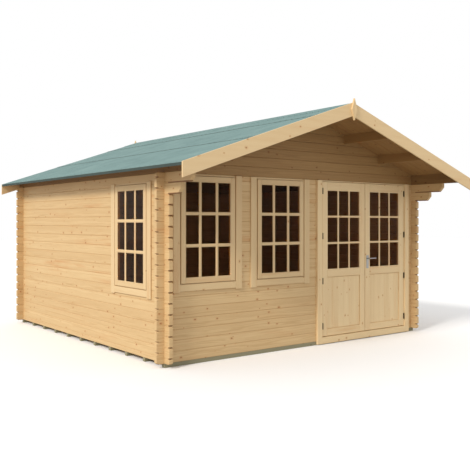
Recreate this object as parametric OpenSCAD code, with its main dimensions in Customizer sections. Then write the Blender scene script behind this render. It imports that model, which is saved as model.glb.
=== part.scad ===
// Log cabin with a front porch roof, double doors and three fixed windows.
// The frame stands on the ground: +Z is up, -Y is the door side, +X is right
// when facing the doors, and the origin is under the middle of the roof.

/* [Cabin] */
// Width over the outer faces of the side walls
cabin_w = 4060; // [3960:10:4900]
// Depth over the outer faces of the front and back walls
cabin_d = 4100; // [3400:10:5000]
// Full logs in the front wall under the gable
wall_courses = 17; // [15:1:20]

/* [Logs] */
// Height that one log covers
log_cover = 114; // [95:1:137]
// Thickness of a log
log_t = 44; // [34:1:58]
// Depth of the bevel along each edge of a log
log_bevel = 5; // [2:1:8]
// How far a log end stands out past the crossing wall
log_end = 95; // [60:5:110]
// Length of the bevel on a log end
end_bevel_run = 24; // [8:1:30]
// Height of the bevel on a log end
end_bevel_rise = 15; // [4:1:20]

/* [Corbels] */
// Reach of the lower corbel log in front of the front wall
corbel_lower_reach = 310; // [200:10:400]
// Reach of the upper corbel log in front of the front wall
corbel_upper_reach = 515; // [410:10:620]
// Length of the slanting cut under a corbel log
corbel_cut_run = 54; // [40:2:90]
// Height of the slanting cut under a corbel log
corbel_cut_rise = 56; // [40:2:90]

/* [Floor] */
// Width of a floor bearer
bearer_w = 50; // [38:1:75]
// Height of a floor bearer
bearer_h = 44; // [30:1:60]
// Number of floor bearers
bearer_count = 11; // [8:1:13]
// Thickness of the floor boards
floor_t = 19; // [16:1:28]
// Gap round the floor boards
floor_gap = 5; // [3:1:8]

/* [Roof] */
// Slope of the roof in degrees
roof_slope = 18.85; // [15:0.05:25]
// Reach of the roof in front of the front wall
front_overhang = 760; // [660:10:900]
// Reach of the roof behind the back wall
back_overhang = 150; // [140:10:300]
// Reach of the roof outside each side wall
side_overhang = 264; // [200:2:360]
// Thickness of the roof boards
roof_board_t = 19; // [15:1:25]
// Thickness of the roofing felt
felt_t = 3; // [2:0.5:5]
// Gap between the roof's layers
layer_gap = 0.05; // [0.05:0.05:0.5]
// Height of the felt that is turned down at the eaves
felt_turndown = 28; // [22:1:40]
// Width of the felt strip over the ridge, measured across
ridge_felt_w = 470; // [300:10:700]
// Width of a purlin
purlin_w = 44; // [38:1:60]
// Height of a purlin on its ridge side
purlin_h = 110; // [90:2:140]
// Height of the ridge purlin
ridge_purlin_h = 140; // [100:2:160]
// Distance between purlins, measured across
purlin_pitch = 645; // [500:5:720]
// Thickness of a barge board
barge_t = 19; // [15:1:25]
// Width of a barge board
barge_w = 145; // [120:1:170]
// Height of the front barge boards above the felt
barge_lip = 6; // [2:1:12]
// Depth of the back barge boards' top edges below the top of the felt
back_barge_drop = 2; // [0:0.5:3]
// Width of a finial
finial_w = 80; // [50:1:120]
// Thickness of a finial
finial_t = 24; // [12:1:30]
// Height of a finial above its widest level
finial_up = 127; // [60:1:160]
// Height of a finial below its widest level
finial_down = 125; // [100:1:200]
// Height of a finial's widest level below the top of the barge boards
finial_drop = 80; // [40:1:110]

/* [Windows] */
// Width of a window sash
sash_w = 716; // [600:4:780]
// Full logs under the front windows
sill_course = 7; // [5:1:9]
// Middle of the left front window, from the left wall
front_window_1_x = 556; // [550:1:600]
// Middle of the right front window, from the left wall
front_window_2_x = 1601; // [1560:1:1640]
// Middle of the side window, from the front wall
side_window_y = 719; // [600:1:2400]
// Height of the side window below the level of the front windows
side_window_drop = 79; // [50:1:200]
// Thickness of the sash
sash_t = 40; // [34:1:48]
// Width of the sash's side and bottom members
sash_stile = 57; // [45:1:80]
// Width of the sash's top member
sash_top = 58; // [45:1:100]
// Gap round the sash
sash_gap = 4; // [2:0.5:6]
// Thickness of the glass
glass_t = 4; // [3:0.5:6]
// Depth of the glass behind the sash's face
glass_inset = 7; // [5:1:18]
// Thickness of the window lining
lining_t = 20; // [17:1:25]
// Width of the stop that the sash closes against
window_stop_w = 12; // [10:1:18]
// Width of the window trims
window_trim_w = 86; // [60:1:100]
// Thickness of the window trims
trim_t = 16; // [12:1:22]
// Distance between the sash and the trims beside it
trim_gap = 14; // [8:1:18]
// Reach of the side trims below the sash
trim_below = 95; // [86:1:110]
// Height of the bottom trim
bottom_trim_h = 72; // [50:1:76]
// Gap between the sash and the bottom trim
bottom_trim_gap = 10; // [6:1:14]

/* [Doors] */
// Middle of the doorway, from the right wall
door_from_right = 1000; // [960:1:1020]
// Clear width of the doorway between its jambs
doorway_w = 1562; // [1300:2:1700]
// Thickness of a door leaf
leaf_t = 44; // [36:1:50]
// Reach of the leaves in front of the wall's face
leaf_out = 10; // [6:1:16]
// Width of a leaf's upright members
leaf_stile = 89; // [70:1:110]
// Width of a leaf's top rail
leaf_top_rail = 100; // [80:1:120]
// Width of a leaf's middle rail
leaf_mid_rail = 90; // [70:1:110]
// Width of a leaf's bottom rail
leaf_bottom_rail = 86; // [70:1:140]
// Height of the glass above the leaf's bottom edge
leaf_glass_z = 826; // [700:2:1000]
// Depth of the glass behind the leaf's face
leaf_glass_inset = 12; // [8:1:20]
// Depth of the recess round the lower panel on each side
panel_recess = 12; // [6:1:15]
// Gap between a leaf and its jamb, head or stop
leaf_gap = 5; // [5:0.5:8]
// Gap between a leaf and the sill
sill_gap = 8; // [5:0.5:12]
// Gap between the two leaves
meeting_gap = 9; // [9:0.5:14]
// Thickness of the jamb lining
jamb_t = 22; // [16:1:30]
// Width of the outer trim of a jamb
jamb_trim_w = 80; // [60:1:90]
// Thickness of the outer trim of a jamb
jamb_trim_t = 27; // [20:1:32]
// Width of the lining's edge that shows beside the trim
jamb_reveal = 13; // [12:1:18]
// Width of the inner trim of a jamb
jamb_inner_w = 60; // [40:1:80]
// Width of the stop that the leaves close against
stop_w = 14; // [10:1:20]
// Height of the sill above the bottom of the logs
sill_h = 45; // [35:1:60]
// Reach of the sill's front below the bottom of the logs
sill_apron = 35; // [10:1:40]
// Thickness of the head over the leaves
head_t = 12; // [10:1:20]

/* [Hinges] */
// Outer diameter of a hinge knuckle
knuckle_d = 14; // [12:1:18]
// Height of each half of a hinge
knuckle_h = 38; // [30:1:60]
// Diameter of a hinge pin
pin_d = 6; // [5:0.5:8]
// Clearance round a hinge pin
pin_fit = 0.2; // [0.1:0.05:0.4]
// Clearance between the two halves of a hinge
knuckle_gap = 1; // [0.5:0.5:2]
// Clearance between a knuckle and the face of the leaf
knuckle_off = 1; // [1:0.5:4]
// Depth of a hinge plate behind the face of the leaf
hinge_plate_w = 24; // [16:1:30]
// Thickness of a hinge plate
hinge_plate_t = 2; // [1.5:0.25:2.25]
// Number of hinges on a leaf
hinge_count = 4; // [2:1:5]
// Height of the lowest hinge above the leaf's bottom edge
hinge_low = 130; // [100:5:240]
// Distance of the highest hinge below the leaf's top edge
hinge_high = 115; // [80:5:240]

/* [Handle] */
// Height of the lever above the bottom of the logs
handle_z = 1000; // [900:10:1100]
// Distance of the spindle from the leaf's meeting edge
handle_inset = 40; // [32:1:46]
// Length of the lever
lever_l = 115; // [90:5:130]
// Diameter of the lever
lever_d = 16; // [12:1:20]
// Distance of the lever's axis from the plate
lever_off = 38; // [30:1:50]
// Diameter of the spindle
spindle_d = 9; // [8:1:12]
// Clearance round the spindle and the lever's neck
spindle_fit = 1; // [0.5:0.5:2]
// Width of a handle plate
plate_w = 40; // [30:1:44]
// Height of a handle plate
plate_h = 170; // [120:5:220]
// Thickness of a handle plate
plate_t = 5; // [3:1:8]
// Height of the plate above the lever's axis
plate_above = 40; // [30:5:80]

/* [Hidden] */
$fn = 48;
eps = 1;

// Colours
pine = [0.87, 0.72, 0.50];
pine_dark = [0.74, 0.58, 0.38];
pine_light = [0.90, 0.78, 0.57];
treated = [0.60, 0.60, 0.48];
felt_green = [0.42, 0.61, 0.63];
steel = [0.75, 0.75, 0.77];
glass_dark = [0.25, 0.28, 0.30, 0.6];

// Walls. Front logs start with a full log, side logs with a half log.
wall_top = (wall_courses + 0.5) * log_cover;
corbel_z = wall_top - 2 * log_cover;
eaves_z = wall_top + log_cover;
front_phase = 0;
side_phase = log_cover / 2;
gable_phase = wall_top;

// Roof. roof_under is the underside of the roof boards above a point that
// lies x in from the outer face of the nearer side wall.
rise = tan(roof_slope);
board_v = roof_board_t / cos(roof_slope);
felt_v = felt_t / cos(roof_slope);
barge_v = barge_w / cos(roof_slope);
half_w = cabin_w / 2;
function roof_under(x) = eaves_z + x * rise;
board_low = layer_gap;
board_top = board_low + board_v;
felt_low = board_top + layer_gap;
felt_top = felt_low + felt_v;
ridge_low = felt_top + layer_gap;
front_barge_top = felt_top + barge_lip;
back_barge_top = felt_top - back_barge_drop;
roof_y0 = -front_overhang + barge_t;
roof_y1 = cabin_d + back_overhang - barge_t;

// Origin: under the middle of the roof, at the underside of the bearers
shift_y = (front_overhang - back_overhang - cabin_d) / 2;

// Windows
window_margin = lining_t + sash_gap;
front_sash_z = sill_course * log_cover + window_margin;
sash_h = wall_top - window_margin - front_sash_z;
side_sash_z = front_sash_z - side_window_drop;
sash_back = sash_t - trim_t;
pane_inset = window_stop_w - sash_gap;

// Doors
door_mid = cabin_w - door_from_right;
door_x0 = door_mid - doorway_w / 2;
door_x1 = door_mid + doorway_w / 2;
leaf_w = (doorway_w - 2 * leaf_gap - meeting_gap) / 2;
leaf_z0 = sill_h + sill_gap;
leaf_z1 = wall_top - head_t - leaf_gap;
leaf_h = leaf_z1 - leaf_z0;
leaf_y = -leaf_out;
stop_y = leaf_y + leaf_t + leaf_gap;
jamb_back = log_t + trim_t;
sill_stop_h = 15;
pane_w = leaf_w - 2 * leaf_stile;
pane_h = leaf_h - leaf_glass_z - leaf_top_rail;
panel_h = leaf_glass_z - leaf_mid_rail - leaf_bottom_rail;

// Hinges
axis_y = leaf_y - knuckle_off - knuckle_d / 2;
axis_in = leaf_gap / 2;
hinge_pitch = (leaf_h - hinge_low - hinge_high) / (hinge_count - 1);

// Moves a piece from the cabin's own corner to the part's frame
module placed() {
    translate([-half_w, shift_y, bearer_h]) children();
}

// Mirrors a piece of the left side to the right side
module to_right() {
    translate([cabin_w, 0, 0]) mirror([1, 0, 0]) children();
}

// Heights of the joints between z0 and z1
function joints(z0, z1, phase) =
    [for (z = [phase : log_cover : z1 - 1]) if (z > z0 + 1) z];

function reversed(points) = [for (i = [len(points) - 1 : -1 : 0]) points[i]];

// One side of a stack of bevelled logs: a zigzag from z0 up to z1. It stands
// at x, and each bevel goes in by run and takes up rise above and below.
function zigzag(x, run, rise, z0, z1, phase) = concat(
    [[x + run, z0], [x, z0 + rise]],
    [for (z = joints(z0, z1, phase)) each [[x, z - rise], [x + run, z], [x, z + rise]]],
    [[x, z1 - rise], [x + run, z1]]);

// Cross-section of a stack of logs
function stack_section(z0, z1, phase) = concat(
    zigzag(0, log_bevel, log_bevel, z0, z1, phase),
    reversed(zigzag(log_t, -log_bevel, log_bevel, z0, z1, phase)));

// Side view of a stack of logs whose ends stand out past both crossings
function stack_view(length, z0, z1, phase) = concat(
    zigzag(-log_end, end_bevel_run, end_bevel_rise, z0, z1, phase),
    reversed(zigzag(length + log_end, -end_bevel_run, end_bevel_rise, z0, z1, phase)));

// Extrudes an outline of (x, z) points back along Y, from y0 to y1
module along_y(points, y0, y1) {
    translate([0, y1, 0]) rotate([90, 0, 0]) linear_extrude(y1 - y0) polygon(points);
}

// Extrudes an outline of (y, z) points along X, from x0 to x1
module along_x(points, x0, x1) {
    translate([x0, 0, 0]) rotate([90, 0, 90]) linear_extrude(x1 - x0) polygon(points);
}

// Notches that the other wall's logs fill, at both crossings of a wall that
// runs along X. The first starts at first_z.
module crossings(length, first_z) {
    for (x = [0, length - log_t]) {
        for (z = [first_z : log_cover : wall_top]) {
            translate([x, -eps, z]) cube([log_t, log_t + 2 * eps, log_cover / 2]);
        }
    }
}

// Logs of a wall that runs along X, outer face at y = 0
module x_logs(z0, z1, phase) {
    intersection() {
        along_x(stack_section(z0, z1, phase), -log_end - eps, cabin_w + log_end + eps);
        along_y(stack_view(cabin_w, z0, z1, phase), -eps, log_t + eps);
    }
}

// Logs of the left wall, which runs along Y, outer face at x = 0
module y_logs(view, z0, z1, y0, y1) {
    intersection() {
        along_y(stack_section(z0, z1, side_phase), y0 - eps, y1 + eps);
        along_x(view, -eps, log_t + eps);
    }
}

// Notches of the left wall for the front and back walls' logs
module y_crossings() {
    for (y = [0, cabin_d - log_t]) {
        for (z = [log_cover / 4 : log_cover : wall_top]) {
            translate([-eps, y, z]) cube([log_t + 2 * eps, log_t, log_cover / 2]);
        }
    }
}

module front_logs() {
    difference() {
        x_logs(0, wall_top, front_phase);
        crossings(cabin_w, -log_cover / 4);
    }
}

// Opening in a wall for a window whose sash starts at x, z, up to z1
module window_opening(x, z, z1) {
    translate([x - window_margin, -eps, z - window_margin])
        cube([sash_w + 2 * window_margin, log_t + 2 * eps, z1 - z + window_margin]);
}

module front_wall_left() {
    end_x = door_x0 - jamb_t;
    color(pine) placed() difference() {
        front_logs();
        for (x = [front_window_1_x, front_window_2_x]) {
            window_opening(x - sash_w / 2, front_sash_z, wall_top + eps);
        }
        translate([end_x, -eps, -eps])
            cube([cabin_w + log_end - end_x + eps, log_t + 2 * eps, wall_top + 2 * eps]);
    }
}

module front_wall_right() {
    color(pine) placed() difference() {
        front_logs();
        translate([-log_end - eps, -eps, -eps])
            cube([door_x1 + jamb_t + log_end + eps, log_t + 2 * eps, wall_top + 2 * eps]);
    }
}

module back_wall() {
    color(pine) placed() translate([0, cabin_d, 0]) mirror([0, 1, 0]) front_logs();
}

// Left wall under the corbel logs
module side_logs() {
    difference() {
        y_logs(stack_view(cabin_d, 0, corbel_z, side_phase), 0, corbel_z,
            -log_end, cabin_d + log_end);
        y_crossings();
    }
}

// Places a piece made for a front wall on the left wall, its left edge at y
module on_left_wall(y, z) {
    translate([0, y, z]) rotate([0, 0, -90]) children();
}

module side_opening() {
    on_left_wall(side_window_y + sash_w / 2, side_sash_z)
        window_opening(0, 0, sash_h + window_margin);
}

module left_wall() {
    color(pine) placed() difference() {
        side_logs();
        side_opening();
    }
}

module right_wall() {
    color(pine) placed() to_right() side_logs();
}

// Side view of the corbel logs: stepped noses in front, log ends behind
function corbel_nose(reach, z) = [
    [-reach + corbel_cut_run, z], [-reach, z + corbel_cut_rise], [-reach, z + log_cover]];

corbel_view = concat(
    corbel_nose(corbel_lower_reach, corbel_z),
    corbel_nose(corbel_upper_reach, corbel_z + log_cover),
    reversed(zigzag(cabin_d + log_end, -end_bevel_run, end_bevel_rise,
        corbel_z, wall_top, side_phase)));

module corbel_logs() {
    difference() {
        y_logs(corbel_view, corbel_z, wall_top, -corbel_upper_reach, cabin_d + log_end);
        y_crossings();
    }
}

module left_corbel_logs() {
    color(pine) placed() difference() {
        corbel_logs();
        side_opening();
    }
}

module right_corbel_logs() {
    color(pine) placed() to_right() corbel_logs();
}

// Top log of a side wall, planed to the roof's slope
module eaves_log() {
    along_y([[log_bevel, wall_top], [0, wall_top + log_bevel], [0, roof_under(0)],
        [log_t, roof_under(log_t)], [log_t, wall_top + log_bevel],
        [log_t - log_bevel, wall_top]], roof_y0, roof_y1);
}

module left_eaves_log() {
    color(pine) placed() eaves_log();
}

module right_eaves_log() {
    color(pine) placed() to_right() eaves_log();
}

// Outline of the ridge purlin's cross-section
ridge_purlin_section = [
    [half_w - purlin_w / 2, roof_under(half_w) - ridge_purlin_h],
    [half_w + purlin_w / 2, roof_under(half_w) - ridge_purlin_h],
    [half_w + purlin_w / 2, roof_under(half_w - purlin_w / 2)],
    [half_w, roof_under(half_w)],
    [half_w - purlin_w / 2, roof_under(half_w - purlin_w / 2)]];

// Outline of the left purlin that lies n spaces from the ridge
function purlin_section(n) = let (x = half_w - n * purlin_pitch, z = roof_under(x) - purlin_h) [
    [x, z], [x, roof_under(x)],
    [x - purlin_w, roof_under(x - purlin_w)], [x - purlin_w, z]];

purlin_rows = [1, 2];

module ridge_purlin() {
    color(pine_dark) placed() along_y(ridge_purlin_section, roof_y0, roof_y1);
}

module side_purlins() {
    for (n = purlin_rows) along_y(purlin_section(n), roof_y0, roof_y1);
}

// Notches in a gable for the left purlins, open at the top
module purlin_notches() {
    for (n = purlin_rows) {
        x = half_w - n * purlin_pitch;
        translate([x - purlin_w, -eps, roof_under(x) - purlin_h])
            cube([purlin_w, log_t + 2 * eps, 2 * purlin_h]);
    }
}

module left_purlins() {
    color(pine_dark) placed() side_purlins();
}

module right_purlins() {
    color(pine_dark) placed() to_right() side_purlins();
}

// Gable between the eaves logs, notched for the purlins
module gable_logs() {
    difference() {
        intersection() {
            along_x(stack_section(wall_top, roof_under(half_w) + log_cover, gable_phase),
                log_t, cabin_w - log_t);
            along_y([[log_t, wall_top], [cabin_w - log_t, wall_top],
                [cabin_w - log_t, roof_under(log_t)], [half_w, roof_under(half_w)],
                [log_t, roof_under(log_t)]], -eps, log_t + eps);
        }
        translate([half_w - purlin_w / 2, -eps, roof_under(half_w) - ridge_purlin_h])
            cube([purlin_w, log_t + 2 * eps, 2 * ridge_purlin_h]);
        purlin_notches();
        to_right() purlin_notches();
    }
}

module front_gable() {
    color(pine_dark) placed() gable_logs();
}

module back_gable() {
    color(pine_dark) placed() translate([0, cabin_d, 0]) mirror([0, 1, 0]) gable_logs();
}

module floor_bearers() {
    pitch = (cabin_d - bearer_w) / (bearer_count - 1);
    color(treated) placed() for (i = [0 : bearer_count - 1]) {
        translate([0, i * pitch, -bearer_h]) cube([cabin_w, bearer_w, bearer_h]);
    }
}

module floor_boards() {
    inset = log_t + floor_gap;
    color(pine) placed() translate([inset, inset, 0])
        cube([cabin_w - 2 * inset, cabin_d - 2 * inset, floor_t]);
}

// Layer of the left half of the roof, cut plumb at the ridge and the eaves,
// between two heights above the underside of the boards
module roof_layer(low, high) {
    eaves = roof_under(-side_overhang);
    ridge = roof_under(half_w);
    along_y([[-side_overhang, eaves + low], [half_w, ridge + low],
        [half_w, ridge + high], [-side_overhang, eaves + high]], roof_y0, roof_y1);
}

module left_roof_boards() {
    color(pine_dark) placed() roof_layer(board_low, board_top);
}

module right_roof_boards() {
    color(pine_dark) placed() to_right() roof_layer(board_low, board_top);
}

// Felt on the left half of the roof, turned down over the boards' ends
module roof_felt() {
    x = -side_overhang;
    z = roof_under(x) + felt_low;
    along_y([[x, z], [half_w, roof_under(half_w) + felt_low],
        [half_w, roof_under(half_w) + felt_top], [x, z + felt_v],
        [x - felt_t, z], [x - felt_t, z - felt_turndown], [x, z - felt_turndown]],
        roof_y0, roof_y1);
}

module left_roof_felt() {
    color(felt_green) placed() roof_felt();
}

module right_roof_felt() {
    color(felt_green) placed() to_right() roof_felt();
}

module ridge_felt() {
    x0 = half_w - ridge_felt_w / 2;
    color(felt_green) placed() along_y([[x0, roof_under(x0) + ridge_low],
        [half_w, roof_under(half_w) + ridge_low],
        [cabin_w - x0, roof_under(x0) + ridge_low],
        [cabin_w - x0, roof_under(x0) + ridge_low + felt_v],
        [half_w, roof_under(half_w) + ridge_low + felt_v],
        [x0, roof_under(x0) + ridge_low + felt_v]], roof_y0, roof_y1);
}

// Left barge board, its near face at y and its top edge at a height above the
// underside of the roof boards
module barge_board(y, top) {
    x = -side_overhang - felt_t;
    along_y([[x, roof_under(x) + top - barge_v], [half_w, roof_under(half_w) + top - barge_v],
        [half_w, roof_under(half_w) + top], [x, roof_under(x) + top]], y, y + barge_t);
}

module front_left_barge_board() {
    color(pine_light) placed() barge_board(-front_overhang, front_barge_top);
}

module front_right_barge_board() {
    color(pine_light) placed() to_right() barge_board(-front_overhang, front_barge_top);
}

module back_left_barge_board() {
    color(pine_light) placed() barge_board(roof_y1, back_barge_top);
}

module back_right_barge_board() {
    color(pine_light) placed() to_right() barge_board(roof_y1, back_barge_top);
}

// Kite-shaped board over the joint of two barge boards whose top edges are at
// a height above the underside of the roof boards, its near face at y
module finial(y, top) {
    z = roof_under(half_w) + top - finial_drop;
    along_y([[half_w, z + finial_up], [half_w - finial_w / 2, z],
        [half_w, z - finial_down], [half_w + finial_w / 2, z]], y, y + finial_t);
}

module front_finial() {
    color(pine_light) placed() finial(-front_overhang - finial_t, front_barge_top);
}

module back_finial() {
    color(pine_light) placed() finial(roof_y1 + barge_t, back_barge_top);
}

// Lining, stop and outer trims of a window. The sash's lower left corner is
// at x = 0, z = 0.
module window_frame() {
    difference() {
        translate([-window_margin, 0, -window_margin])
            cube([sash_w + 2 * window_margin, log_t, sash_h + 2 * window_margin]);
        translate([-sash_gap, -eps, -sash_gap])
            cube([sash_w + 2 * sash_gap, sash_back + eps, sash_h + 2 * sash_gap]);
        translate([pane_inset, -eps, pane_inset])
            cube([sash_w - 2 * pane_inset, log_t + 2 * eps, sash_h - 2 * pane_inset]);
    }
    for (x = [-trim_gap - window_trim_w, sash_w + trim_gap]) {
        translate([x, -trim_t, -trim_below])
            cube([window_trim_w, trim_t, sash_h + window_margin + trim_below]);
    }
    translate([-trim_gap, -trim_t, -bottom_trim_gap - bottom_trim_h])
        cube([sash_w + 2 * trim_gap, trim_t, bottom_trim_h]);
}

// Glazed opening of a sash, between the depths y0 and y1 behind its face
module sash_pane(y0, y1) {
    translate([sash_stile, y0 - trim_t, sash_stile])
        cube([sash_w - 2 * sash_stile, y1 - y0, sash_h - sash_stile - sash_top]);
}

module window_sash() {
    difference() {
        translate([0, -trim_t, 0]) cube([sash_w, sash_t, sash_h]);
        sash_pane(-eps, sash_t + eps);
    }
}

module window_glass() {
    sash_pane(glass_inset, glass_inset + glass_t);
}

// Repeats a piece at both front windows
module at_front_windows() {
    for (x = [front_window_1_x, front_window_2_x]) {
        translate([x - sash_w / 2, 0, front_sash_z]) children();
    }
}

module at_side_window() {
    on_left_wall(side_window_y + sash_w / 2, side_sash_z) children();
}

module front_window_frames() {
    color(pine_light) placed() at_front_windows() window_frame();
}

module front_window_sashes() {
    color(pine_light) placed() at_front_windows() window_sash();
}

module front_window_glass() {
    color(glass_dark) placed() at_front_windows() window_glass();
}

module side_window_frame() {
    color(pine_light) placed() at_side_window() window_frame();
}

module side_window_sash() {
    color(pine_light) placed() at_side_window() window_sash();
}

module side_window_glass() {
    color(glass_dark) placed() at_side_window() window_glass();
}

// Moves a piece made for the left leaf to the right one
module to_other_leaf() {
    translate([2 * door_mid, 0, 0]) mirror([1, 0, 0]) children();
}

// Left jamb: a lining that wraps the wall's end, with trims and a stop
module door_jamb() {
    trim_x = door_x0 - jamb_reveal;
    linear_extrude(wall_top) polygon([
        [trim_x - jamb_trim_w, -jamb_trim_t], [trim_x, -jamb_trim_t], [trim_x, leaf_y],
        [door_x0, leaf_y], [door_x0, stop_y], [door_x0 + stop_w, stop_y],
        [door_x0 + stop_w, log_t], [door_x0 - jamb_t, log_t],
        [door_x0 - jamb_t, 0], [trim_x - jamb_trim_w, 0]]);
    translate([trim_x - jamb_trim_w, -jamb_trim_t, -sill_apron])
        cube([jamb_trim_w, jamb_trim_t, sill_apron]);
    translate([door_x0 - jamb_inner_w, log_t, floor_t])
        cube([jamb_inner_w + stop_w, jamb_back - log_t, wall_top - floor_t]);
}

module door_jamb_left() {
    color(pine_light) placed() door_jamb();
}

module door_jamb_right() {
    color(pine_light) placed() to_other_leaf() door_jamb();
}

module door_head() {
    color(pine_light) placed() {
        translate([door_x0, leaf_y, wall_top - head_t]) cube([doorway_w, stop_y - leaf_y, head_t]);
        translate([door_x0 + stop_w, stop_y, wall_top - head_t - stop_w])
            cube([doorway_w - 2 * stop_w, jamb_back - stop_y, head_t + stop_w]);
    }
}

module door_sill() {
    color(pine_light) placed() {
        translate([door_x0, leaf_y, 0]) cube([doorway_w, stop_y - leaf_y, sill_h]);
        translate([door_x0 - jamb_reveal, -jamb_trim_t, -sill_apron])
            cube([doorway_w + 2 * jamb_reveal, jamb_trim_t - leaf_out, sill_apron + sill_h]);
        translate([door_x0 + stop_w, stop_y, 0])
            cube([doorway_w - 2 * stop_w, log_t - stop_y, sill_h + sill_stop_h]);
        translate([door_x0 + stop_w, log_t, floor_t])
            cube([doorway_w - 2 * stop_w, jamb_back - log_t, sill_h + sill_stop_h - floor_t]);
    }
}

// Left leaf: a frame with a glazed upper half and a sunk lower panel
module door_leaf() {
    translate([door_x0 + leaf_gap, leaf_y, leaf_z0]) difference() {
        cube([leaf_w, leaf_t, leaf_h]);
        translate([leaf_stile, -eps, leaf_glass_z]) cube([pane_w, leaf_t + 2 * eps, pane_h]);
        for (y = [-eps, leaf_t - panel_recess]) {
            translate([leaf_stile, y, leaf_bottom_rail])
                cube([pane_w, panel_recess + eps, panel_h]);
        }
    }
}

module leaf_glass() {
    translate([door_x0 + leaf_gap + leaf_stile, leaf_y + leaf_glass_inset,
        leaf_z0 + leaf_glass_z]) cube([pane_w, glass_t, pane_h]);
}

module left_door() {
    color(pine_light) placed() door_leaf();
}

// Hole through the right leaf for the handle's spindle
module spindle_hole(d, y0, y1) {
    translate([handle_x, y0, handle_z]) rotate([-90, 0, 0]) cylinder(h = y1 - y0, d = d);
}

module right_door() {
    color(pine_light) placed() difference() {
        to_other_leaf() door_leaf();
        spindle_hole(spindle_d + 2 * spindle_fit, leaf_y - eps, leaf_y + leaf_t + eps);
    }
}

module left_door_glass() {
    color(glass_dark) placed() leaf_glass();
}

module right_door_glass() {
    color(glass_dark) placed() to_other_leaf() leaf_glass();
}

// Repeats a hinge half at each level, with its axis at x = 0, y = 0
module at_left_hinges() {
    for (i = [0 : hinge_count - 1]) {
        translate([door_x0 + axis_in, axis_y, leaf_z0 + hinge_low + i * hinge_pitch]) children();
    }
}

// Plate of a hinge half in the gap beside the leaf, its outer face at x
module hinge_plate(x) {
    translate([x, 0, 0])
        cube([hinge_plate_t, leaf_y - axis_y + hinge_plate_w, knuckle_h]);
}

// Upper half of a hinge, screwed to the leaf's edge
module leaf_hinge_half() {
    difference() {
        union() {
            cylinder(h = knuckle_h, d = knuckle_d);
            hinge_plate(axis_in - hinge_plate_t);
        }
        translate([0, 0, -eps]) cylinder(h = knuckle_h + 2 * eps, d = pin_d + 2 * pin_fit);
    }
}

// Lower half of a hinge, screwed to the jamb's lining, with the pin
module jamb_hinge_half() {
    translate([0, 0, -knuckle_h - knuckle_gap]) {
        cylinder(h = knuckle_h, d = knuckle_d);
        cylinder(h = 2 * knuckle_h + knuckle_gap, d = pin_d);
        hinge_plate(-axis_in);
    }
}

module left_door_hinges() {
    color(steel) placed() at_left_hinges() leaf_hinge_half();
}

module right_door_hinges() {
    color(steel) placed() to_other_leaf() at_left_hinges() leaf_hinge_half();
}

module left_jamb_hinges() {
    color(steel) placed() at_left_hinges() jamb_hinge_half();
}

module right_jamb_hinges() {
    color(steel) placed() to_other_leaf() at_left_hinges() jamb_hinge_half();
}

// Handle
handle_x = door_mid + meeting_gap / 2 + handle_inset;
plate_out_y = leaf_y - plate_t;
plate_in_y = leaf_y + leaf_t;
lever_out_y = plate_out_y - lever_off;
lever_in_y = plate_in_y + plate_t + lever_off;

module handle_plate(y) {
    difference() {
        translate([handle_x - plate_w / 2, y, handle_z + plate_above - plate_h])
            cube([plate_w, plate_t, plate_h]);
        spindle_hole(lever_d + 2 * spindle_fit, y - eps, y + plate_t + eps);
    }
}

module door_handle_plates() {
    color(steel) placed() {
        handle_plate(plate_out_y);
        handle_plate(plate_in_y);
    }
}

// A lever that points right, its axis at y
module lever(y) {
    translate([handle_x, y, handle_z]) {
        sphere(d = lever_d);
        rotate([0, 90, 0]) cylinder(h = lever_l, d = lever_d);
        translate([lever_l, 0, 0]) sphere(d = lever_d);
    }
}

module door_handle() {
    color(steel) placed() {
        lever(lever_out_y);
        lever(lever_in_y);
        spindle_hole(spindle_d, lever_out_y, lever_in_y);
        spindle_hole(lever_d, lever_out_y, plate_out_y + plate_t);
        spindle_hole(lever_d, plate_in_y, lever_in_y);
    }
}

floor_bearers();
floor_boards();
front_wall_left();
front_wall_right();
left_wall();
right_wall();
back_wall();
front_gable();
back_gable();
left_corbel_logs();
right_corbel_logs();
left_eaves_log();
right_eaves_log();
ridge_purlin();
left_purlins();
right_purlins();
left_roof_boards();
right_roof_boards();
left_roof_felt();
right_roof_felt();
ridge_felt();
front_left_barge_board();
front_right_barge_board();
back_left_barge_board();
back_right_barge_board();
front_finial();
back_finial();
front_window_frames();
front_window_sashes();
front_window_glass();
side_window_frame();
side_window_sash();
side_window_glass();
door_jamb_left();
door_jamb_right();
door_head();
door_sill();
left_door();
left_door_glass();
right_door();
right_door_glass();
left_door_hinges();
right_door_hinges();
left_jamb_hinges();
right_jamb_hinges();
door_handle_plates();
door_handle();
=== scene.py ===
import math

import bmesh
import bpy
from mathutils import Matrix, Vector


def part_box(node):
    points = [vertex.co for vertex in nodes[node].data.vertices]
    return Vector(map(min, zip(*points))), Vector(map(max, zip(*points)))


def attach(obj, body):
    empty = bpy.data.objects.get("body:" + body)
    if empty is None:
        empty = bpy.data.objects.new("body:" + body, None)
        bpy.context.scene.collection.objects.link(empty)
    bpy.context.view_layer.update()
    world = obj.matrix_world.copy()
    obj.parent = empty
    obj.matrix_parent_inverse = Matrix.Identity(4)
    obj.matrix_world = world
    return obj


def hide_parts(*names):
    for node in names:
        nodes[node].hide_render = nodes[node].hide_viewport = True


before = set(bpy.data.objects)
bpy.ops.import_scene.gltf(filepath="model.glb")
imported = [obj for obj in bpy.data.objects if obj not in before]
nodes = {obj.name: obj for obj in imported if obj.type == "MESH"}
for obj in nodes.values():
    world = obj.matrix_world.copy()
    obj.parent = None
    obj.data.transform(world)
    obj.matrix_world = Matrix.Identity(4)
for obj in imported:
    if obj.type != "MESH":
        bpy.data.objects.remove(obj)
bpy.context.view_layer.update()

print("frame loaded:", len(nodes), "nodes")

logPitch = 0.114           # height that one log covers
logThickness = 0.044
logEnd = {"reach": 0.095, "bevel": 0.024}

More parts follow.
